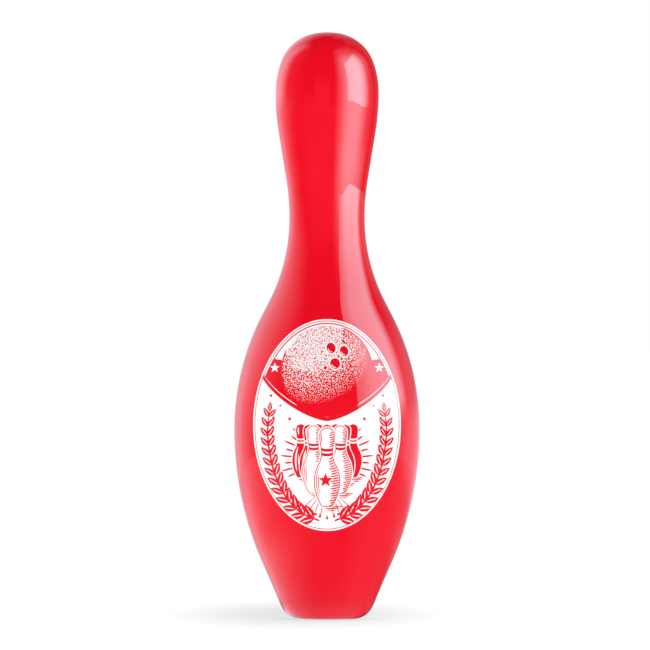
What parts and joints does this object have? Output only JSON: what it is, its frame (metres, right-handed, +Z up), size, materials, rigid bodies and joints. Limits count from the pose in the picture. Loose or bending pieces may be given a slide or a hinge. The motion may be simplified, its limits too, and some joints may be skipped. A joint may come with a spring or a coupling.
{
  "type": "bowling pin",
  "caption": "Full-size tenpin: glossy red plastic coating over a laminated maple core, nylon base ring, drive bore in the foot and a white printed oval on the front of the belly.",
  "frame": {"origin": "centre of the base, on the plane of the surface that the pin stands on", "axes": "+Z up the pin's axis from the base to the crown; the printed oval faces -Y; +X is to the right of someone who looks at the print"},
  "size_m": [0.1206, 0.1207, 0.381],
  "materials": {
    "coating": "red ionomer, clear gloss lacquer",
    "maple": "hard maple, glued and turned",
    "base_ring": "natural nylon, satin",
    "ink": "white ink under gloss lacquer"
  },
  "bodies": {
    "root": {"coating": "coating", "base_ring": "base_ring", "core_post_left": "maple", "core_post_middle": "maple", "core_post_right": "maple", "core_wing_inner_left": "maple", "core_wing_outer_left": "maple", "core_wing_inner_right": "maple", "core_wing_outer_right": "maple", "core_wing_inner_front": "maple", "core_wing_outer_front": "maple", "core_wing_inner_back": "maple", "core_wing_outer_back": "maple", "print_border": "ink", "print_field": "ink"}
  },
  "joints": []
}
